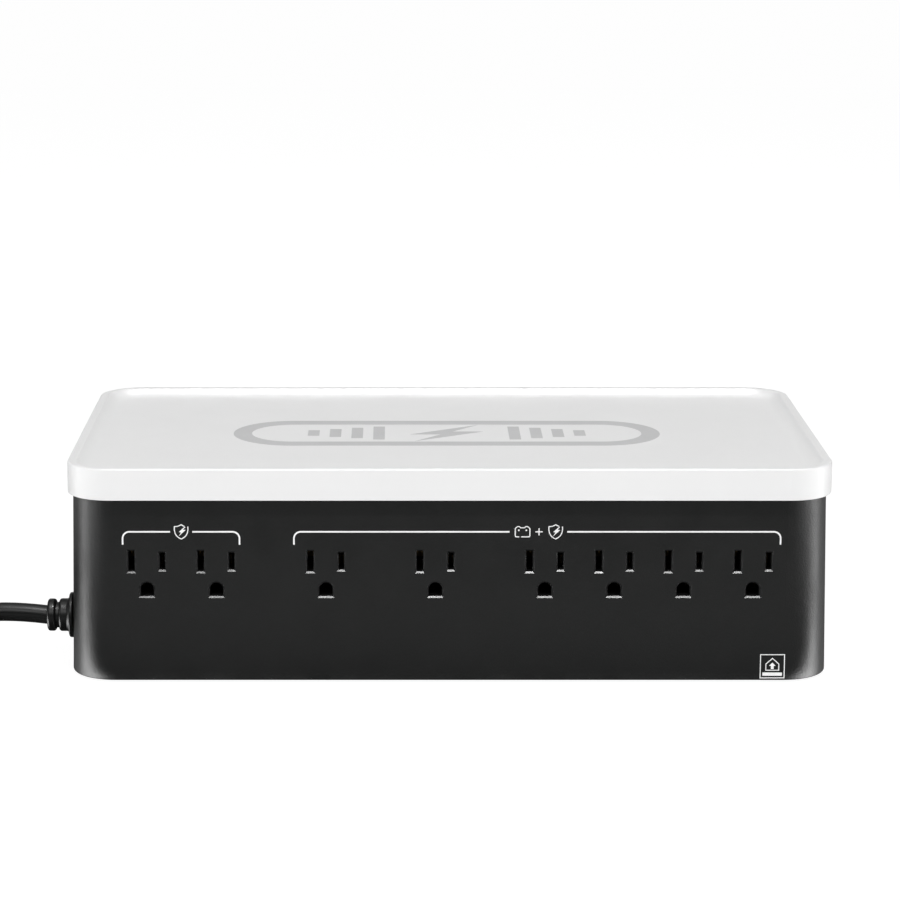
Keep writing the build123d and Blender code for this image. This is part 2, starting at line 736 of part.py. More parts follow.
button_face = wall_y(button_z) + 0.5
with BuildPart() as power_button:
    with BuildSketch(Plane.XZ.offset(-button_face)):
        with Locations((button_x, button_z)):
            Circle(button_radius)
    extrude(amount=5.5)
    fillet(power_button.edges().group_by(Axis.Y)[-1], 0.7)
    with BuildSketch(Plane.XZ.offset(-button_face + 5.5)):
        with Locations((button_x, button_z)):
            Circle(3.0)
    extrude(amount=button_face - 5.5 - panel_y - 4.6)
power_button.part.label = "power_button"
export_step(power_button.part, "parts/power_button.step")

with BuildPart() as switch_plunger:
    with BuildSketch(Plane.XZ.offset(-panel_y - 4.6)):
        with Locations((button_x, button_z)):
            Circle(1.6)
    extrude(amount=1.6)
switch_plunger.part.label = "switch_plunger"
export_step(switch_plunger.part, "parts/switch_plunger.step")

light_face = wall_y(button_z) + 0.15
with BuildPart() as light_pipe:
    with BuildSketch(Plane.XZ.offset(-light_face)):
        with Locations((light_x, button_z)):
            SlotOverall(9.0, 3.0, rotation=90)
    extrude(amount=light_face - panel_y - 3.0)
light_pipe.part.label = "light_pipe"
export_step(light_pipe.part, "parts/light_pipe.step")

with BuildPart() as status_led:
    with Locations((light_x, panel_y + 0.8, button_z)):
        Box(3.0, 1.6, 3.0)
status_led.part.label = "status_led"
export_step(status_led.part, "parts/status_led.step")

port_face = wall_y(usb_z) - 0.6
with BuildPart() as usb_shells:
    with Locations(*[(x, (port_face + panel_y) / 2, usb_z) for x in usb_x]):
        Box(13.2, port_face - panel_y, 5.8)
    fillet(usb_shells.edges().filter_by(Axis.Y), 0.5)
    with Locations(*[(x, (port_face + panel_y) / 2 + 1, usb_z) for x in usb_x]):
        Box(12.4, port_face - panel_y, 5.0, mode=Mode.SUBTRACT)
usb_shells.part.label = "usb_shells"
export_step(usb_shells.part, "parts/usb_shells.step")

with BuildPart() as usb_tongues:
    with Locations(*[(x, (port_face + panel_y) / 2, usb_z + 1.1) for x in usb_x]):
        Box(11.4, port_face - panel_y - 2.2, 1.9)
usb_tongues.part.label = "usb_tongues"
export_step(usb_tongues.part, "parts/usb_tongues.step")

# ------------------------------------------------------------------ data line jacks
jack_face = wall_x(jack_z) - housing_wall - 0.4
with BuildPart() as data_board:
    with Locations((135, -42, jack_z - 8.1)):
        Box(34, 31, 1.6)
data_board.part.label = "data_board"
export_step(data_board.part, "parts/data_board.step")

with BuildPart() as data_jacks:
    for y in jack_y:
        with Locations((jack_face - 9, y, jack_z - 0.5)):
            Box(18, 15.2, 13.6)
        with Locations((jack_face - 6, y, jack_z)):
            Box(13, 12.0, 7.0, mode=Mode.SUBTRACT)
        with Locations((jack_face - 6, y, jack_z - 4)):
            Box(13, 6.0, 2.4, mode=Mode.SUBTRACT)
data_jacks.part.label = "data_jacks"
export_step(data_jacks.part, "parts/data_jacks.step")

# ------------------------------------------------------------------ circuit breaker
breaker_floor = -wall_x(breaker_z) + breaker_pocket_depth
with BuildPart() as breaker_body:
    with BuildSketch(Plane.YZ.offset(breaker_floor + 2.5)):
        with Locations((breaker_y, breaker_z)):
            RectangleRounded(14, 32, 1.0)
    extrude(amount=26)
    with BuildSketch(Plane.YZ.offset(breaker_floor + 2.5)):
        with Locations((breaker_y, breaker_z)):
            Circle(4.9)
    extrude(amount=-4.6)
    with BuildSketch(Plane.YZ.offset(breaker_floor + 12)):
        with Locations((breaker_y, breaker_z)):
            Circle(3.3)
    extrude(amount=-20, mode=Mode.SUBTRACT)
breaker_body.part.label = "breaker_body"
export_step(breaker_body.part, "parts/breaker_body.step")

with BuildPart() as breaker_nut:
    with BuildSketch(Plane.YZ.offset(breaker_floor)):
        with Locations((breaker_y, breaker_z)):
            RegularPolygon(7.6, 6)
            Circle(4.95, mode=Mode.SUBTRACT)
    extrude(amount=-1.8)
breaker_nut.part.label = "breaker_nut"
export_step(breaker_nut.part, "parts/breaker_nut.step")

with BuildPart() as reset_button:
    with BuildSketch(Plane.YZ.offset(breaker_floor - 3.2)):
        with Locations((breaker_y, breaker_z)):
            Circle(3.1)
    extrude(amount=11)
    fillet(reset_button.edges().group_by(Axis.X)[0], 0.6)
reset_button.part.label = "reset_button"
export_step(reset_button.part, "parts/reset_button.step")

with BuildPart() as breaker_tabs:
    with Locations(*[(breaker_floor + 31.5, breaker_y, breaker_z + dz) for dz in (-10, 10)]):
        Box(6.0, 6.35, 0.8)
breaker_tabs.part.label = "breaker_tabs"
export_step(breaker_tabs.part, "parts/breaker_tabs.step")

# ------------------------------------------------------------------ power cord
entry_face = -wall_x(entry_z)
relief_end = -168.5
flange_radius = 9.5
flange_thickness = 1.9
flange_gap = 0.3
flange_round = 0.7
collar_radius = 6.9
collar_length = 4.7
collar_reach = 6.6
rib_radius = 6.8
rib_width = 3.6
rib_round = 1.2
core_radius = 5.4
core_length = 6.0
stem_radius = 5.45
stem_length = 14.0
flange_face = entry_face - flange_gap - flange_thickness
with BuildPart() as strain_relief:
    with BuildSketch(Plane.YZ.offset(flange_face)):
        with Locations((entry_y, entry_z)):
            Circle(flange_radius)
    extrude(amount=flange_thickness)
    fillet(strain_relief.edges(), flange_round)
    with BuildSketch(Plane.YZ.offset(entry_face - collar_reach)):
        with Locations((entry_y, entry_z)):
            Circle(collar_radius)
    extrude(amount=collar_length)
    with BuildSketch(Plane.YZ.offset(relief_end + flange_gap)):
        with Locations((entry_y, entry_z)):
            Circle(core_radius)
    extrude(amount=core_length)
    with BuildSketch(Plane.YZ.offset(relief_end)):
        with Locations((entry_y, entry_z)):
            Circle(rib_radius)
    extrude(amount=rib_width)
    with BuildSketch(Plane.YZ.offset(entry_face - 1)):
        with Locations((entry_y, entry_z)):
            Circle(stem_radius)
    extrude(amount=stem_length)
    round_edges = strain_relief.edges().filter_by(GeomType.CIRCLE)
    wide_edges = [edge for edge in round_edges if rib_radius - 0.05 < edge.radius < collar_radius + 0.05]
    fillet(wide_edges, rib_round)
strain_relief.part.label = "strain_relief"
export_step(strain_relief.part, "parts/strain_relief.step")

# The coil: five turns and a quarter, two side by side and three high, on the surface.
coil_x = -262.0
coil_y = -16.0
turn_radius = 42.0
tie_thickness = 0.8
coil_low = tie_thickness + 0.1
coil_width = 2 * cord_diameter
coil_height = 3 * cord_diameter
with BuildPart() as cord_coil:
    with BuildSketch(Plane.XZ.offset(-coil_y)):
        with Locations((coil_x + turn_radius, coil_low + coil_height / 2)):
            RectangleRounded(coil_width, coil_height, cord_diameter / 2 - 0.1)
    revolve(axis=Axis((coil_x, coil_y, 0), (0, 0, 1)))
cord_coil.part.label = "cord_coil"
export_step(cord_coil.part, "parts/cord_coil.step")

with BuildPart() as cord_tie:
    with BuildSketch(Plane.XZ.offset(-coil_y + 5)):
        with Locations((coil_x + turn_radius, coil_low + coil_height / 2)):
            RectangleRounded(coil_width + 3.0, coil_height + 1.8, 4.2)
            RectangleRounded(coil_width + 1.4, coil_height + 0.2, 3.4, mode=Mode.SUBTRACT)
    extrude(amount=-10)
cord_tie.part.label = "cord_tie"
export_step(cord_tie.part, "parts/cord_tie.step")

coil_outer = turn_radius + cord_diameter / 2
coil_start_y = coil_y - coil_outer
lead_points = [
    (relief_end, entry_y, entry_z),
    (-189.5, entry_y + 1.4, entry_z + 2.2),
    (-212.0, entry_y + 0.9, entry_z - 3.0),
    (-237.5, entry_y - 0.2, 9.6),
    (coil_x, coil_start_y + 0.8, coil_low + cord_diameter / 2),
]
plug_axis = 12.6
tail_x = coil_x - coil_outer
plug_start = coil_y + 42.0
tail_points = [
    (tail_x, coil_y, coil_low + 2.5 * cord_diameter),
    (tail_x - 0.6, coil_y + 14.0, coil_low + 2.4 * cord_diameter),
    (tail_x - 0.3, coil_y + 28.0, 15.0),
    (tail_x, plug_start, plug_axis),
]


def corner_radii(points):
    """For each corner of a route, 0.45 of its shorter run over the tangent of half its turn."""
    route = [Vector(*point) for point in points]
    radii = []
    for before, corner, after in zip(route, route[1:], route[2:]):
        turn = (corner - before).get_angle(after - corner)
        shorter = min((corner - before).length, (after - corner).length)
        radii.append(0.45 * shorter / tan(radians(turn) / 2))
    return radii


def cord_tube(points, name):
    """Sweep the cord's round section along straight runs joined by tangent arcs."""
    radii = corner_radii(points)
    print(name, "radii", [round(radius, 1) for radius in radii])
    with BuildLine() as path:
        FilletPolyline(*points, radius=radii)
    with BuildSketch(Plane(origin=path.line @ 0, z_dir=path.line % 0)) as section:
        Circle(cord_diameter / 2)
    sweep(section.sketch, path=path.line)
    return path.wire().length


# The lead runs from the housing to the coil, the tail from the coil to the plug.
with BuildPart() as power_cord:
    lead_length = cord_tube(lead_points, "lead")
    tail_length = cord_tube(tail_points, "tail")
power_cord.part.label = "power_cord"
export_step(power_cord.part, "parts/power_cord.step")

free_length = lead_length + tail_length
turns = (cord_length - free_length) / (2 * pi * turn_radius)
full_volume = pi * cord_diameter**2 / 4 * free_length
print("lead", round(lead_length, 1), "tail", round(tail_length, 1), "turns", round(turns, 3))
print("tube volume over section times length", round(power_cord.part.volume / full_volume, 5))

# ------------------------------------------------------------------ plug
plug_neck = 14.0
plug_shoulder = 10.0
plug_block = 18.0
plug_width = 25.0
plug_corner = 6.0
neck_small_radius = 5.2
neck_large_radius = 6.6
shoulder_size = (17.0, 16.0)
shoulder_start = plug_start + plug_neck
block_start = shoulder_start + plug_shoulder
plug_face = block_start + plug_block
with BuildPart() as plug_body:
    with BuildSketch(Plane.XZ.offset(-plug_start)):
        with Locations((tail_x, plug_axis)):
            Circle(neck_small_radius)
    with BuildSketch(Plane.XZ.offset(-shoulder_start)):
        with Locations((tail_x, plug_axis)):
            Circle(neck_large_radius)
    loft()
    with BuildSketch(Plane.XZ.offset(-shoulder_start)):
        with Locations((tail_x, plug_axis)):
            RectangleRounded(*shoulder_size, plug_corner)
    with BuildSketch(Plane.XZ.offset(-block_start)):
        with Locations((tail_x, plug_axis)):
            RectangleRounded(plug_width, plug_width, plug_corner)
    loft()
    with BuildSketch(Plane.XZ.offset(-block_start)):
        with Locations((tail_x, plug_axis)):
            RectangleRounded(plug_width, plug_width, plug_corner)
    extrude(amount=-plug_block)
plug_body.part.label = "plug_body"
export_step(plug_body.part, "parts/plug_body.step")

blade_thickness = 1.5
blade_reach = 17.0
neutral_blade = 7.9
line_blade = 6.35
pin_radius = 2.4
pin_reach = 19.0
blade_axis = plug_axis + 4.0
with BuildPart() as plug_blades:
    for side, height in ((-1, neutral_blade), (1, line_blade)):
        with Locations((tail_x + side * blade_spread / 2, plug_face + blade_reach / 2, blade_axis)):
            Box(blade_thickness, blade_reach, height)
    with BuildSketch(Plane.XZ.offset(-plug_face)):
        with Locations((tail_x, blade_axis - ground_drop)):
            Circle(pin_radius)
    extrude(amount=-pin_reach)
plug_blades.part.label = "plug_blades"
export_step(plug_blades.part, "parts/plug_blades.step")


# ------------------------------------------------------------------ inside wiring
def wire(points, diameter, bend):
    """An insulated lead: straight runs with round bends."""
    with BuildLine() as path:
        FilletPolyline(*points, radius=bend)
    with BuildSketch(Plane(origin=path.line @ 0, z_dir=path.line % 0)) as section:
        Circle(diameter / 2)
    sweep(section.sketch, path=path.line)


with BuildPart() as lead_connectors:
    with Locations(*[(x, battery_front - 8.5, terminal_z) for x in terminal_x]):
        Box(8.4, 12, 3.6)
        with Locations((0, 3, 0)):
            Box(6.6, 7, 1.0, mode=Mode.SUBTRACT)
lead_connectors.part.label = "lead_connectors"
export_step(lead_connectors.part, "parts/lead_connectors.step")

lead_y = battery_front - 14.5
with BuildPart() as battery_lead_positive:
    wire(
        [
            (terminal_x[1], lead_y, terminal_z),
            (terminal_x[1], lead_y - 12, terminal_z),
            (112, -50, 26),
            (0, -48, 22),
            (-31, -36, 24),
            (-31, -25.5, board_top + 6),
            (-31, -25.5, board_top + 0.1),
        ],
        3.6,
        2.6,
    )
battery_lead_positive.part.label = "battery_lead_positive"
export_step(battery_lead_positive.part, "parts/battery_lead_positive.step")

with BuildPart() as battery_lead_negative:
    wire(
        [
            (terminal_x[0], lead_y, terminal_z),
            (terminal_x[0], lead_y - 10, terminal_z),
            (-14, -46, 34),
            (-36, -36, 26),
            (-36, -25.5, board_top + 6),
            (-36, -25.5, board_top + 0.1),
        ],
        3.6,
        2.6,
    )
battery_lead_negative.part.label = "battery_lead_negative"
export_step(battery_lead_negative.part, "parts/battery_lead_negative.step")

inner_end = entry_face + 13
with BuildPart() as line_lead:
    wire(
        [
            (inner_end, entry_y - 2.8, entry_z),
            (inner_end + 8, entry_y - 2.8, entry_z),
            (-120, -45, 26),
            (-108, -16, 54),
            (breaker_floor + 46, breaker_y, breaker_z + 10),
            (breaker_floor + 34.7, breaker_y, breaker_z + 10),
        ],
        2.6,
        3.0,
    )
line_lead.part.label = "line_lead"
export_step(line_lead.part, "parts/line_lead.step")

with BuildPart() as neutral_lead:
    wire(
        [
            (inner_end, entry_y + 2.8, entry_z),
            (inner_end + 6, entry_y + 2.8, entry_z),
            (-128, -44, 22),
            (-130, -32, board_top + 6),
            (-130, -27, board_top + 5),
            (-130, -27, board_top + 0.1),
        ],
        2.0,
        1.5,
    )
neutral_lead.part.label = "neutral_lead"
export_step(neutral_lead.part, "parts/neutral_lead.step")

with BuildPart() as ground_lead:
    wire(
        [
            (inner_end, entry_y, entry_z + 3.4),
            (inner_end + 8, entry_y, entry_z + 3.4),
            (-124, -55, 28),
            (-90, -54, 30),
            (-73.5, -56, ground_z),
            (-73.5, -61.2, ground_z),
        ],
        2.6,
        1.8,
    )
ground_lead.part.label = "ground_lead"
export_step(ground_lead.part, "parts/ground_lead.step")

# A blank sheet for the ratings, stuck below the base.
with BuildPart() as rating_label:
    with BuildSketch(Plane.XY.offset(foot_gap)):
        with Locations((-20, -58)):
            RectangleRounded(110, 30, 2)
    extrude(amount=-0.2)
rating_label.part.label = "rating_label"
export_step(rating_label.part, "parts/rating_label.step")
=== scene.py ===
import json
import math

import bmesh
import bpy
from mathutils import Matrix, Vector


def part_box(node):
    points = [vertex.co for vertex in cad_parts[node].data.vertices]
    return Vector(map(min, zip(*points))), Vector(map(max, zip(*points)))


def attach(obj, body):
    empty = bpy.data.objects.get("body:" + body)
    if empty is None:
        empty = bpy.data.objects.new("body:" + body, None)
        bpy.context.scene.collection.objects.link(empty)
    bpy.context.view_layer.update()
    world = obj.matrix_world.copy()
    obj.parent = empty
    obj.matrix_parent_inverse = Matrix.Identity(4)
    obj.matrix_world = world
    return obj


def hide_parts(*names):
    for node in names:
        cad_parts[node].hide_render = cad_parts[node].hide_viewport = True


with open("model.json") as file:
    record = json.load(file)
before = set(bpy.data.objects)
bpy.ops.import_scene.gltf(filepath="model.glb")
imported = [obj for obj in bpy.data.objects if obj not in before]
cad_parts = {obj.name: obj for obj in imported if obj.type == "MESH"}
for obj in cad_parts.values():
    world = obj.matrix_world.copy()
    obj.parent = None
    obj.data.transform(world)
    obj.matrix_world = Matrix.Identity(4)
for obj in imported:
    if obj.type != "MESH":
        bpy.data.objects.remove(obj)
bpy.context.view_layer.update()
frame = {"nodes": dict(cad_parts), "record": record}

# The scene is in metres. The cord, the plug and the printing are worked out in millimetres.
MM = 0.001
root = "chassis"

# ---------------------------------------------------------------- the camera
# Solved from the outlets and the four corners of the cover, for the chosen depth of 175 mm.
# Metres and degrees.
CAMERA_X = -0.02295
CAMERA_DISTANCE = 1.1428
CAMERA_HEIGHT = 0.3463
CAMERA_DOWN = 12.29
# How far the front wall, at the outlets, lies behind the front edge of the cover.
WALL_INSET = 0.0015

cover_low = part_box("top_cover")[0]
base_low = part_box("housing")[0]
camera_data = bpy.data.cameras.new("camera")
camera = bpy.data.objects.new("camera", camera_data)
bpy.context.scene.collection.objects.link(camera)
camera_data.sensor_width = 36.0
camera_data.lens = 115.0
camera_data.shift_x = 0.0621
camera_data.clip_start = 0.05
camera_data.clip_end = 50.0
camera.location = (
    CAMERA_X,
    cover_low.y + WALL_INSET - CAMERA_DISTANCE,
    base_low.z + CAMERA_HEIGHT,
)
camera.rotation_euler = (math.radians(90 - CAMERA_DOWN), 0, 0)
bpy.context.scene.camera = camera


# ---------------------------------------------------------------- materials
materials = {}


class Shader:
    """A node material being built: its tree, its principled shader and small helpers."""

    def __init__(self, name, color, roughness, metallic=0.0, specular=0.5):
        self.material = bpy.data.materials.new(name)
        self.material.use_nodes = True
        self.nodes = self.material.node_tree.nodes
        self.links = self.material.node_tree.links
        self.shader = self.nodes["Principled BSDF"]
        self.shader.inputs["Base Color"].default_value = (*color, 1)
        self.shader.inputs["Roughness"].default_value = roughness
        self.shader.inputs["Metallic"].default_value = metallic
        self.shader.inputs["Specular IOR Level"].default_value = specular
        self.place = self.nodes.new("ShaderNodeTexCoord").outputs["Object"]
        self.height = None

    def noise(self, scale, detail=3.0, rough=0.5, stretch=None):
        texture = self.nodes.new("ShaderNodeTexNoise")
        texture.inputs["Scale"].default_value = scale
        texture.inputs["Detail"].default_value = detail
        texture.inputs["Roughness"].default_value = rough
        source = self.place
        if stretch:
            mapping = self.nodes.new("ShaderNodeMapping")
            mapping.inputs["Scale"].default_value = stretch
            self.links.new(source, mapping.inputs["Vector"])
            source = mapping.outputs["Vector"]
        self.links.new(source, texture.inputs["Vector"])
        return texture.outputs["Fac"]

    def span(self, value, low, high, start=0.3, end=0.7):
        """The value taken from start..end to low..high."""
        node = self.nodes.new("ShaderNodeMapRange")
        node.inputs["From Min"].default_value = start
        node.inputs["From Max"].default_value = end
        node.inputs["To Min"].default_value = low
        node.inputs["To Max"].default_value = high
        self.links.new(value, node.inputs["Value"])
        return node.outputs["Result"]

    def tint(self, value, dark, light):
        """Base colour from dark to light as the value goes from 0 to 1."""
        mix = self.nodes.new("ShaderNodeMix")
        mix.data_type = "RGBA"
        mix.inputs["A"].default_value = (*dark, 1)
        mix.inputs["B"].default_value = (*light, 1)
        self.links.new(value, mix.inputs["Factor"])
        self.links.new(mix.outputs["Result"], self.shader.inputs["Base Color"])
        return mix.outputs["Result"]

    def roughness(self, value):
        self.links.new(value, self.shader.inputs["Roughness"])

    def bump(self, value, distance, strength=1.0):
        node = self.nodes.new("ShaderNodeBump")
        node.inputs["Distance"].default_value = distance
        node.inputs["Strength"].default_value = strength
        self.links.new(value, node.inputs["Height"])
        if self.height:
            self.links.new(self.height, node.inputs["Normal"])
        self.height = node.outputs["Normal"]
        self.links.new(self.height, self.shader.inputs["Normal"])


def scaled(color, factor):
    return tuple(min(1.0, channel * factor) for channel in color)


def moulded(name, color, roughness=0.45, grain=1800.0, depth=0.00002, contrast=0.06, specular=0.5):
    """Injection moulded plastic: a spark-eroded grain, a faint mottling and uneven gloss."""
    it = Shader(name, color, roughness, specular=specular)
    cloud = it.span(it.noise(24.0, 4.0), 0.0, 1.0)
    it.tint(cloud, scaled(color, 1 - contrast), scaled(color, 1 + contrast))
    it.roughness(it.span(it.noise(55.0, 5.0, 0.6), roughness - 0.05, roughness + 0.05))
    it.bump(it.noise(grain, 2.0, 0.6), depth)
    it.bump(it.noise(14.0, 1.0), 0.00006, 0.5)
    materials[name] = it.material


def metal(name, color, roughness=0.3, stretch=(1, 1, 1), scratch=0.000012):
    """Bare or plated metal with fine drawn scratches and slightly uneven tarnish."""
    it = Shader(name, color, roughness, metallic=1.0)
    it.tint(it.span(it.noise(60.0, 4.0), 0.0, 1.0), scaled(color, 0.86), scaled(color, 1.08))
    it.roughness(it.span(it.noise(140.0, 4.0, stretch=stretch), roughness - 0.08, roughness + 0.12))
    it.bump(it.noise(900.0, 3.0, stretch=stretch), scratch)
    materials[name] = it.material


moulded("white_cover", (0.80, 0.80, 0.80), 0.42, 2200.0, 0.000010, 0.008)
moulded("black_housing", (0.0042, 0.0046, 0.0045), 0.42, 1300.0, 0.00009, 0.10, 0.32)
moulded("black_base", (0.010, 0.010, 0.0105), 0.55, 1300.0, 0.00003, 0.1)
moulded("feet", (0.02, 0.02, 0.02), 0.8, 900.0, 0.00003, 0.2)
metal("zinc", (0.62, 0.62, 0.60), 0.32)
moulded("outlet_plastic", (0.006, 0.006, 0.006), 0.5, 1800.0, 0.00002, 0.1, 0.3)
# The contact brass is darkened about threefold as painted shade, so the contacts read black deep inside
# the outlet slots.
metal("contact_brass", (0.15, 0.11, 0.055), 0.42, (0.1, 1, 1))
metal("blade_brass", (0.72, 0.55, 0.28), 0.3, (1, 0.1, 1))
moulded("battery_plastic", (0.035, 0.04, 0.045), 0.4, 1500.0, 0.00002, 0.08)
metal("battery_metal", (0.3, 0.3, 0.33), 0.6)
metal("tin_tabs", (0.68, 0.68, 0.69), 0.25)
moulded("board_green", (0.02, 0.16, 0.06), 0.35, 700.0, 0.00002, 0.25)
moulded("ferrite", (0.035, 0.035, 0.038), 0.5, 900.0, 0.00004, 0.2)
moulded("bobbin_plastic", (0.06, 0.06, 0.06), 0.5)
metal("copper_wire", (0.62, 0.26, 0.10), 0.3, (1, 1, 14))
metal("sink_aluminium", (0.76, 0.76, 0.77), 0.35, (1, 1, 0.05))
moulded("component_black", (0.015, 0.015, 0.015), 0.5)
moulded("relay_plastic", (0.7, 0.7, 0.68), 0.45)
moulded("capacitor_yellow", (0.75, 0.5, 0.05), 0.4)
moulded("varistor_blue", (0.04, 0.12, 0.5), 0.35)
moulded("fuse_plastic", (0.06, 0.42, 0.08), 0.2)
moulded("button_plastic", (0.014, 0.014, 0.015), 0.32, 1800.0, 0.00001)
moulded("light_plastic", (0.75, 0.8, 0.76), 0.25)
moulded("port_plastic", (0.015, 0.015, 0.015), 0.5)
moulded("cord_pvc", (0.0035, 0.0037, 0.0037), 0.3, 1100.0, 0.00002, 0.15, 0.22)
moulded("tie_plastic", (0.012, 0.012, 0.012), 0.4)
moulded("wire_red", (0.5, 0.015, 0.015), 0.4)
moulded("wire_black", (0.015, 0.015, 0.015), 0.4)
moulded("wire_white", (0.75, 0.75, 0.73), 0.4)
moulded("wire_green", (0.02, 0.28, 0.05), 0.4)
moulded("label_film", (0.62, 0.62, 0.62), 0.3, 500.0, 0.00001, 0.03)
moulded("print_white", (0.86, 0.86, 0.86), 0.5, 2600.0, 0.00001, 0.05)
moulded("print_grey", (0.52, 0.52, 0.525), 0.45, 2200.0, 0.00001, 0.02)

for row in frame["record"]["subparts"]:
    node = frame["nodes"][row["node"]]
    node.data.materials.clear()
    node.data.materials.append(materials[row["material_slot"]])
blades = frame["nodes"]["plug_blades"].data
blades.materials.clear()
blades.materials.append(materials["blade_brass"])


def piece(name, mesh, material, body):
    """A new object that rides on a body and has one material."""
    thing = bpy.data.objects.new(name, mesh)
    bpy.context.scene.collection.objects.link(thing)
    mesh.materials.append(materials[material])
    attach(thing, body)
    return thing


# ---------------------------------------------------------------- the power cord
CORD = 7.9
relief_end = -168.5
entry_y = -61.0
entry_z = 22.0
coil_x = -262.0
coil_y = -16.0
turn_radius = 42.0
coil_low = 0.9
coil_outer = turn_radius + CORD / 2
tail_x = coil_x - coil_outer
tail_length = 42.0
plug_start = coil_y + tail_length
plug_axis = 12.6
lead_points = [
    (relief_end, entry_y, entry_z),
    (-189.5, entry_y + 1.4, entry_z + 2.2),
    (-212.0, entry_y + 0.9, entry_z - 3.0),
    (-237.5, entry_y - 0.2, 9.6),
]
tail_points = [
    (tail_x - 0.6, coil_y + 14.0, coil_low + 2.4 * CORD),
    (tail_x - 0.3, coil_y + 28.0, 15.0),
    (tail_x, plug_start, plug_axis),
]
# Where each turn lies in the bundle: column -1 inside or +1 outside, layer 0 lowest.
turn_places = [(1, 0), (-1, 0), (-1, 1), (1, 1), (-1, 2), (1, 2)]
TURNS = 5.25
STEPS = 20
# The part of a turn where the cord starts to cross to its next place, and how long it takes.
CROSS_START = 0.72
CROSS_SPAN = 0.25
# How much a turn gives where it presses on its neighbours, and how far it wanders in and out.
PRESS = 0.1
SLACK = 0.35


def coil_points():
    """The turns, wound clockwise from the -Y side, each moving to its next place near its end."""
    points = []
    for index in range(1, int(TURNS * STEPS)):
        sweep = index / STEPS
        turn = int(sweep)
        part = sweep - turn
        column, layer = turn_places[turn]
        if part > CROSS_START and turn + 1 < len(turn_places):
            shift = min(1.0, (part - CROSS_START) / CROSS_SPAN)
            shift = shift * shift * (3 - 2 * shift)
            column += (turn_places[turn + 1][0] - column) * shift
            layer += (turn_places[turn + 1][1] - layer) * shift
        angle = -math.pi / 2 - 2 * math.pi * sweep
        slack = SLACK * math.sin(3 * angle + 1.7 * turn)
        # The control points lie outside the smooth curve that they draw, so they stand further out.
        radius = (turn_radius + column * (CORD / 2 - PRESS) + slack) / math.cos(math.pi / STEPS)
        height = coil_low + CORD / 2 + layer * (CORD - PRESS)
        across = radius * math.cos(angle)
        along = radius * math.sin(angle)
        points.append((coil_x + across, coil_y + along, height))
    return points


def nurbs(name, points, diameter):
    """One smooth round curve through the route, whose points are in millimetres."""
    curve = bpy.data.curves.new(name, "CURVE")
    curve.dimensions = "3D"
    spline = curve.splines.new("NURBS")
    spline.points.add(len(points) - 1)
    for target, point in zip(spline.points, points):
        target.co = (*(Vector(point) * MM), 1)
    spline.order_u = 3
    spline.use_endpoint_u = True
    spline.resolution_u = 8
    curve.bevel_depth = diameter / 2 * MM
    curve.bevel_resolution = 6
    curve.use_fill_caps = True
    thing = bpy.data.objects.new(name, curve)
    bpy.context.scene.collection.objects.link(thing)
    return thing


cord = nurbs("mains_cord", lead_points + coil_points() + tail_points, CORD)
cord.data.materials.append(materials["cord_pvc"])
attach(cord, root)
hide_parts("power_cord", "cord_coil")

# ---------------------------------------------------------------- plug
PLUG_SIDES = 48


def plug_ring(mesh, y, half_width, half_height, corner):
    """A rounded rectangle across the plug; a corner as large as both halves makes a circle."""
    ring = []
    for index in range(PLUG_SIDES):
        angle = 2 * math.pi * (index + 0.5) / PLUG_SIDES
        quarter = (1 if math.cos(angle) > 0 else -1, 1 if math.sin(angle) > 0 else -1)
        x = quarter[0] * (half_width - corner) + corner * math.cos(angle)
        z = quarter[1] * (half_height - corner) + corner * math.sin(angle)
        ring.append(mesh.verts.new(Vector((tail_x + x, y, plug_axis + z)) * MM))
    return ring


def plug_sections():
    """From the cord to the face: distance, half width, half height and corner of each section.

    A neck with four grooves comes first, then a shoulder, and then a block with finger grooves.
    """
    sections = [(0.0, 4.6, 4.6, 4.6), (0.4, 5.0, 5.0, 5.0)]
    for groove in range(4):
        start = 1.0 + 3.1 * groove
        rib = 5.15 + 0.1 * start
        for distance, radius in ((0, rib), (1.6, rib + 0.15), (1.9, rib - 0.9), (2.8, rib - 0.9)):
            sections.append((start + distance, radius, radius, radius))
    sections += [(13.9, 6.5, 6.5, 6.4), (14.2, 7.6, 7.1, 5.6), (14.9, 8.3, 7.8, 5.8)]
    sections += [(19.0, 10.1, 9.9, 6.0), (22.6, 11.6, 11.5, 6.0), (24.4, 12.2, 12.2, 6.0)]
    sections += [(25.6, 12.45, 12.45, 6.0)]
    for groove in range(3):
        start = 27.2 + 3.0 * groove
        sections += [(start, 12.5, 12.45, 6.0), (start + 0.5, 11.9, 12.45, 5.8)]
        sections += [(start + 1.3, 11.9, 12.45, 5.8), (start + 1.8, 12.5, 12.45, 6.0)]
    sections += [(40.4, 12.5, 12.5, 6.0), (41.4, 12.2, 12.2, 5.8)]
    return sections + [(41.9, 11.5, 11.5, 5.3), (42.0, 10.8, 10.8, 5.0)]


plug_mesh = bmesh.new()
rings = [plug_ring(plug_mesh, plug_start + section[0], *section[1:]) for section in plug_sections()]
for first, second in zip(rings, rings[1:]):
    for index in range(PLUG_SIDES):
        after = (index + 1) % PLUG_SIDES
        plug_mesh.faces.new((first[index], second[index], second[after], first[after]))
plug_mesh.faces.new(rings[0])
plug_mesh.faces.new(list(reversed(rings[-1])))
bmesh.ops.recalc_face_normals(plug_mesh, faces=plug_mesh.faces)
plug_data = bpy.data.meshes.new("plug")
plug_mesh.to_mesh(plug_data)
plug_mesh.free()
plug_data.shade_smooth()
plug_data.set_sharp_from_angle(angle=math.radians(40))
plug = piece("plug", plug_data, "cord_pvc", root)
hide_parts("plug_body")

# ---------------------------------------------------------------- printing
BASE_HALF_DEPTH = 87.0
FLARE = 1.7
HOUSING_HEIGHT = 84.0
FOOT_GAP = 1.0
BLADE_Z = 51.5
TRAY_Z = 87.2
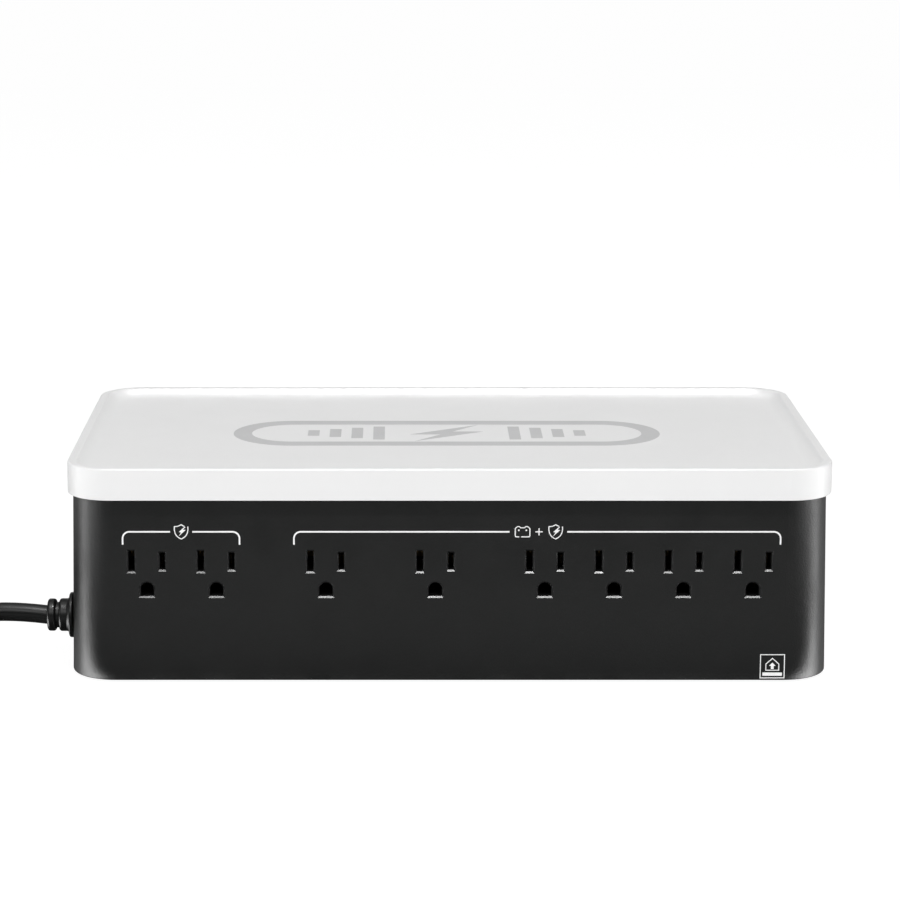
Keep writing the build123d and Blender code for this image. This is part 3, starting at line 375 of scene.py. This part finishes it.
# How far a film of ink stands off its surface, and how far it reaches into it.
INK = 0.05
INK_ROOT = -0.02


def on_front(x, z, out):
    """A point this far off the leaning front wall, in millimetres."""
    return (x, -(BASE_HALF_DEPTH - FLARE * (z - FOOT_GAP) / HOUSING_HEIGHT) - out, z)


def on_tray(x, y, out):
    return (x, y, TRAY_Z + out)


def ink_mesh(name, outlines, place):
    """Thin raised films of ink, one for each pair of an outer loop and a matching inner loop or None."""
    mesh = bmesh.new()
    for outer, inner in outlines:
        rings = []
        for out in (INK, INK_ROOT):
            rings.append([mesh.verts.new(Vector(place(u, v, out)) * MM) for u, v in outer])
        count = len(outer)
        for index in range(count):
            after = (index + 1) % count
            mesh.faces.new((rings[0][index], rings[0][after], rings[1][after], rings[1][index]))
        if inner is None:
            mesh.faces.new(list(reversed(rings[0])))
            mesh.faces.new(rings[1])
            continue
        holes = []
        for out in (INK, INK_ROOT):
            holes.append([mesh.verts.new(Vector(place(u, v, out)) * MM) for u, v in inner])
        for index in range(count):
            after = (index + 1) % count
            mesh.faces.new((holes[0][after], holes[0][index], holes[1][index], holes[1][after]))
            mesh.faces.new((rings[0][after], rings[0][index], holes[0][index], holes[0][after]))
            mesh.faces.new((rings[1][index], rings[1][after], holes[1][after], holes[1][index]))
    bmesh.ops.recalc_face_normals(mesh, faces=mesh.faces)
    data = bpy.data.meshes.new(name)
    mesh.to_mesh(data)
    mesh.free()
    return data


def offset_side(points, distance, closed):
    """The points moved sideways by a distance, mitred at the corners."""
    moved = []
    count = len(points)
    for index, point in enumerate(points):
        here = Vector(point)
        before = Vector(points[index - 1]) if index or closed else None
        after = Vector(points[(index + 1) % count]) if index < count - 1 or closed else None
        first = (here - before).normalized() if before is not None else (after - here).normalized()
        second = (after - here).normalized() if after is not None else first
        normal = Vector((-(first + second).y, (first + second).x)).normalized()
        stretch = max(0.35, normal.dot(Vector((-first.y, first.x))))
        moved.append(tuple(here + normal * distance / stretch))
    return moved


def stroke(points, width, closed=False):
    """The outline of a line of even width."""
    left = offset_side(points, width / 2, closed)
    right = offset_side(points, -width / 2, closed)
    if closed:
        return left, right
    return left + right[::-1], None


def arc(centre, radius, start, end, steps=8):
    """Points on an arc from one angle to another, in degrees."""
    points = []
    for step in range(steps + 1):
        angle = math.radians(start + (end - start) * step / steps)
        points.append((centre[0] + radius * math.cos(angle), centre[1] + radius * math.sin(angle)))
    return points


def rectangle(left, right, low, high):
    return [(left, low), (right, low), (right, high), (left, high)]


def moved(points, x, z, scale=1.0):
    return [(x + u * scale, z + v * scale) for u, v in points]


LINE_Z = BLADE_Z + 12.5
LEG = 5.4
BRACKET_ROUND = 2.8
BRACKET_WIDTH = 0.66
SYMBOL_WIDTH = 0.40
MARK_WIDTH = 0.36


def bracket(low, gap_low, gap_high, high):
    """Two halves of a bracket over a group of outlets, open in the middle for its symbols."""
    halves = []
    for leg_x, centre_x, start, gap in (
        (low, low + BRACKET_ROUND, 180, gap_low),
        (high, high - BRACKET_ROUND, 0, gap_high),
    ):
        bend = arc((centre_x, LINE_Z - BRACKET_ROUND), BRACKET_ROUND, start, 90)
        halves.append(stroke([(leg_x, LINE_Z - LEG)] + bend + [(gap, LINE_Z)], BRACKET_WIDTH))
    return halves


def shield(x, z):
    """A shield whose outline is open at the upper right, where a bolt crosses it."""
    rim = [(1.35, 2.25), (0.7, 2.6), (0, 2.95), (-0.7, 2.6), (-1.4, 2.3), (-2.75, 2.15)]
    rim += [(-2.8, 0.8), (-2.5, -0.6), (-1.9, -1.7), (-1.0, -2.5), (0, -3.0), (1.0, -2.5)]
    rim += [(1.9, -1.7), (2.5, -0.6), (2.8, 0.8), (2.75, 2.2)]
    bolt = [(1.5, 2.2), (-0.95, -0.05), (-0.1, -0.35), (-1.05, -1.95), (1.85, 0.75)]
    bolt += [(0.75, 0.95), (1.75, 1.95)]
    return [stroke(moved(rim, x, z), SYMBOL_WIDTH), (moved(bolt, x, z), None)]


def battery(x, z):
    """A battery seen from its side, with two humps for its terminals and a dot under each."""
    rim = [(-1.35, -2.2), (-2.6, -2.2)] + arc((-2.5, -1.7), 0.5, 250, 180, 3) + [(-3.0, 1.2), (-2.5, 1.8)]
    rim += [(-1.9, 2.1), (-1.3, 2.05), (-0.8, 1.6)]
    rim += [(0.8, 1.6), (1.3, 2.05), (1.9, 2.1), (2.5, 1.8), (3.0, 1.2)]
    rim += arc((2.5, -1.7), 0.5, 0, -70, 3) + [(2.4, -2.2), (-0.6, -2.2)]
    dots = [(moved(arc((side * 1.55, 0.55), 0.36, 0, 330, 11), x, z), None) for side in (-1, 1)]
    return [stroke(moved(rim, x, z), SYMBOL_WIDTH)] + dots


def plus(x, z):
    arm = 1.5
    half = 0.22
    outline = [(half, half), (arm, half), (arm, -half), (half, -half), (half, -arm), (-half, -arm)]
    outline += [(-u, -v) for u, v in outline]
    return [(moved(outline, x, z), None)]


def indoor_mark(x, z, size):
    """A house in a square over a plain bar: the sign for use indoors."""
    half = size / 2
    square = rectangle(-half, half, -half, half)
    house = [(-0.27, -0.17), (-0.27, 0.10), (0.0, 0.34), (0.27, 0.10), (0.27, -0.17)]
    bar = rectangle(-half + 0.9, half - 0.9, -half + 0.9, -half + 2.3)
    arrow = [(-0.06, -0.12), (-0.06, 0.02), (-0.14, 0.02), (0.0, 0.16)]
    arrow += [(0.14, 0.02), (0.06, 0.02), (0.06, -0.12)]
    return [
        stroke(moved(square, x, z), MARK_WIDTH, True),
        stroke(moved(house, x, z, size), MARK_WIDTH, True),
        (moved(arrow, x, z, size), None),
        (moved(bar, x, z), None),
    ]


front_ink = bracket(-134.2, -114.7, -105.6, -86.3) + shield(-110.15, LINE_Z)
front_ink += bracket(-64.0, 24.3, 47.9, 135.4) + battery(29.65, LINE_Z + 0.1) + plus(36.4, LINE_Z)
front_ink += shield(43.2, LINE_Z) + indoor_mark(133.35, 7.05, 9.9)
piece("front_printing", ink_mesh("front_printing", front_ink, on_front), "print_white", root)

# The usual sign for power on the button: a broken ring and a bar, on its face towards +Y.
button_low, button_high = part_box("power_button")
button_x = (button_low.x + button_high.x) / 2 / MM
button_z = (button_low.z + button_high.z) / 2 / MM
button_face = button_high.y / MM


def on_button(u, v, out):
    return (button_x - u, button_face + out, button_z + v)


power_ring = arc((0, 0), 2.7, 125, 415, 28)
power_sign = [stroke(power_ring, 0.5), (rectangle(-0.25, 0.25, 0.6, 3.2), None)]
piece("button_printing", ink_mesh("button_printing", power_sign, on_button), "print_white", "power_button")

# A plain sign in the tray: a long rounded ring round a bolt, with shrinking bars at both sides.
RING_LENGTH = 186.0
RING_WIDTH = 52.0
RING_LINE = 8.0
BAR_START = 27.0
BAR_THICKNESS = 5.0
BAR_PITCH = 9.5
BAR_REACH = 13.5
BAR_SHRINK = 2.6
straight = (RING_LENGTH - RING_WIDTH) / 2
ring_round = (RING_WIDTH - RING_LINE) / 2
ring = arc((straight, 0), ring_round, -90, 90, 32) + arc((-straight, 0), ring_round, 90, 270, 32)
sign_bolt = [(14.0, 17.0), (-16.0, -3.0), (-2.5, -3.0), (-14.0, -17.0), (16.0, 3.0), (2.5, 3.0)]
sign = [stroke(ring, RING_LINE, True), (sign_bolt, None)]
for step in range(4):
    for side in (-1, 1):
        near = BAR_START + BAR_PITCH * step
        reach = BAR_REACH - BAR_SHRINK * step
        bar = rectangle(side * near, side * (near + BAR_THICKNESS), -reach, reach)
        sign.append((bar, None))
piece("tray_printing", ink_mesh("tray_printing", sign, on_tray), "print_grey", root)

# ---------------------------------------------------------------- floor and light
bpy.context.scene.view_settings.view_transform = "Standard"
FLOOR_HALF = 2.6
FLOOR_GLOW = 0.93


def flat(name, left, right, near, far, height):
    """A level rectangle of the staging, in metres."""
    mesh = bpy.data.meshes.new(name)
    corners = [(x, y, height) for x, y in rectangle(left, right, near, far)]
    mesh.from_pydata(corners, [], [(0, 1, 2, 3)])
    thing = bpy.data.objects.new(name, mesh)
    bpy.context.scene.collection.objects.link(thing)
    return thing


floor = flat("floor", -FLOOR_HALF, FLOOR_HALF, -FLOOR_HALF, FLOOR_HALF, 0)
floor_look = Shader("floor", (0.15, 0.15, 0.15), 0.9, specular=0.0)
floor_cloud = floor_look.span(floor_look.noise(3.0), 0, 1)
floor_look.tint(floor_cloud, (0.148, 0.148, 0.148), (0.152, 0.152, 0.152))
floor_look.shader.inputs["Emission Color"].default_value = (1, 1, 1, 1)
floor_look.shader.inputs["Emission Strength"].default_value = FLOOR_GLOW
floor.data.materials.append(floor_look.material)
floor.visible_glossy = False


def remap(nodes, links, value, start, end, low, high):
    """The value eased from start..end to low..high."""
    node = nodes.new("ShaderNodeMapRange")
    node.interpolation_type = "SMOOTHSTEP"
    for key, number in (("From Min", start), ("From Max", end), ("To Min", low), ("To Max", high)):
        node.inputs[key].default_value = number
    links.new(value, node.inputs["Value"])
    return node.outputs["Result"]


def blend(nodes, links, amount, first, second):
    """The first value where the amount is 0, and the second where it is 1."""
    node = nodes.new("ShaderNodeMix")
    node.data_type = "FLOAT"
    links.new(amount, node.inputs["Factor"])
    for socket, value in (("A", first), ("B", second)):
        if isinstance(value, float):
            node.inputs[socket].default_value = value
        else:
            links.new(value, node.inputs[socket])
    return node.outputs["Result"]


SKY_TOP = 0.45
SKY_EDGE = 0.10
TABLE_FRONT = 0.04
TABLE_SIDE = 20.0
BACKDROP = 0.99


def studio_sky():
    """White behind the object for the camera.

    Other rays see a grey ceiling, brightest overhead, and a table that is bright at its two sides.
    """
    world = bpy.data.worlds.new("studio")
    bpy.context.scene.world = world
    world.use_nodes = True
    nodes = world.node_tree.nodes
    links = world.node_tree.links
    split = nodes.new("ShaderNodeSeparateXYZ")
    links.new(nodes.new("ShaderNodeTexCoord").outputs["Generated"], split.inputs["Vector"])
    sideways = nodes.new("ShaderNodeMath")
    sideways.operation = "ABSOLUTE"
    links.new(split.outputs["X"], sideways.inputs[0])
    side = remap(nodes, links, sideways.outputs[0], 0.34, 0.86, 0.0, 1.0)
    ahead = remap(nodes, links, split.outputs["Y"], -0.10, 0.28, 1.0, 0.04)
    side = blend(nodes, links, ahead, 0.0, side)
    table = blend(nodes, links, side, TABLE_FRONT, TABLE_SIDE)
    ceiling = remap(nodes, links, split.outputs["Z"], 0.0, 1.0, SKY_EDGE, SKY_TOP)
    below = remap(nodes, links, split.outputs["Z"], -0.06, 0.0, 1.0, 0.0)
    level = blend(nodes, links, below, ceiling, table)
    studio = nodes["Background"]
    studio.inputs["Color"].default_value = (1, 1, 1, 1)
    links.new(level, studio.inputs["Strength"])
    backdrop = nodes.new("ShaderNodeBackground")
    backdrop.inputs["Color"].default_value = (1, 1, 1, 1)
    backdrop.inputs["Strength"].default_value = BACKDROP
    rays = nodes.new("ShaderNodeLightPath")
    choose = nodes.new("ShaderNodeMixShader")
    links.new(rays.outputs["Is Camera Ray"], choose.inputs["Fac"])
    links.new(studio.outputs["Background"], choose.inputs[1])
    links.new(backdrop.outputs["Background"], choose.inputs[2])
    links.new(choose.outputs["Shader"], nodes["World Output"].inputs["Surface"])


studio_sky()

# A glowing sheet on the table in front, seen only in reflections, which shades the front wall.
SHEET_GLOW = 0.85
SHEET_NEAR_WALL = 0.35
sheet = flat("table_sheet", -0.7, 0.7, -1.0, -0.09, 0.002)
sheet_look = Shader("table_sheet", (0, 0, 0), 1.0, specular=0.0)
sheet_nodes = sheet_look.nodes
sheet_links = sheet_look.links
sheet_split = sheet_nodes.new("ShaderNodeSeparateXYZ")
sheet_links.new(sheet_look.place, sheet_split.inputs["Vector"])
sheet_y = sheet_split.outputs["Y"]
by_wall = remap(sheet_nodes, sheet_links, sheet_y, -0.17, -0.10, SHEET_GLOW, SHEET_NEAR_WALL)
fade = remap(sheet_nodes, sheet_links, sheet_y, -0.46, -0.26, 0.0, 1.0)
glow = blend(sheet_nodes, sheet_links, fade, 0.0, by_wall)
sheet_look.shader.inputs["Emission Color"].default_value = (1, 1, 1, 1)
sheet_links.new(glow, sheet_look.shader.inputs["Emission Strength"])
sheet.data.materials.append(sheet_look.material)
sheet.visible_camera = False
sheet.visible_diffuse = False
sheet.visible_transmission = False
sheet.visible_shadow = False


def area_light(name, place, target, width, height, power):
    """A rectangular lamp at a place, turned towards a target."""
    data = bpy.data.lights.new(name, "AREA")
    data.shape = "RECTANGLE"
    data.size = width
    data.size_y = height
    data.energy = power
    lamp = bpy.data.objects.new(name, data)
    bpy.context.scene.collection.objects.link(lamp)
    lamp.location = place
    lamp.rotation_euler = (Vector(target) - Vector(place)).to_track_quat("-Z", "Y").to_euler()
    return lamp


middle = (0, 0, 0.05)
area_light("softbox_top", (0, 0.0, 1.7), middle, 2.0, 1.4, 11.5)
area_light("softbox_back", (0, 1.6, 0.3), middle, 1.6, 0.3, 1.2)
area_light("softbox_front", (0, -1.3, 1.0), middle, 1.6, 0.6, 12.0)
# It only shows as a reflection, which the bevels under the outlet slots catch.
ledge_aim = (0.02, -0.087, 0.05)
ledge_strip = area_light("ledge_strip", (0.07, -0.41, 1.25), ledge_aim, 0.38, 0.04, 45.0)
ledge_strip.visible_diffuse = False
for name, side in (("side_left", -1), ("side_right", 1)):
    area_light(name, (side * 1.1, -0.25, 0.35), (side * 0.15, -0.07, 0.05), 0.25, 0.8, 2.2)
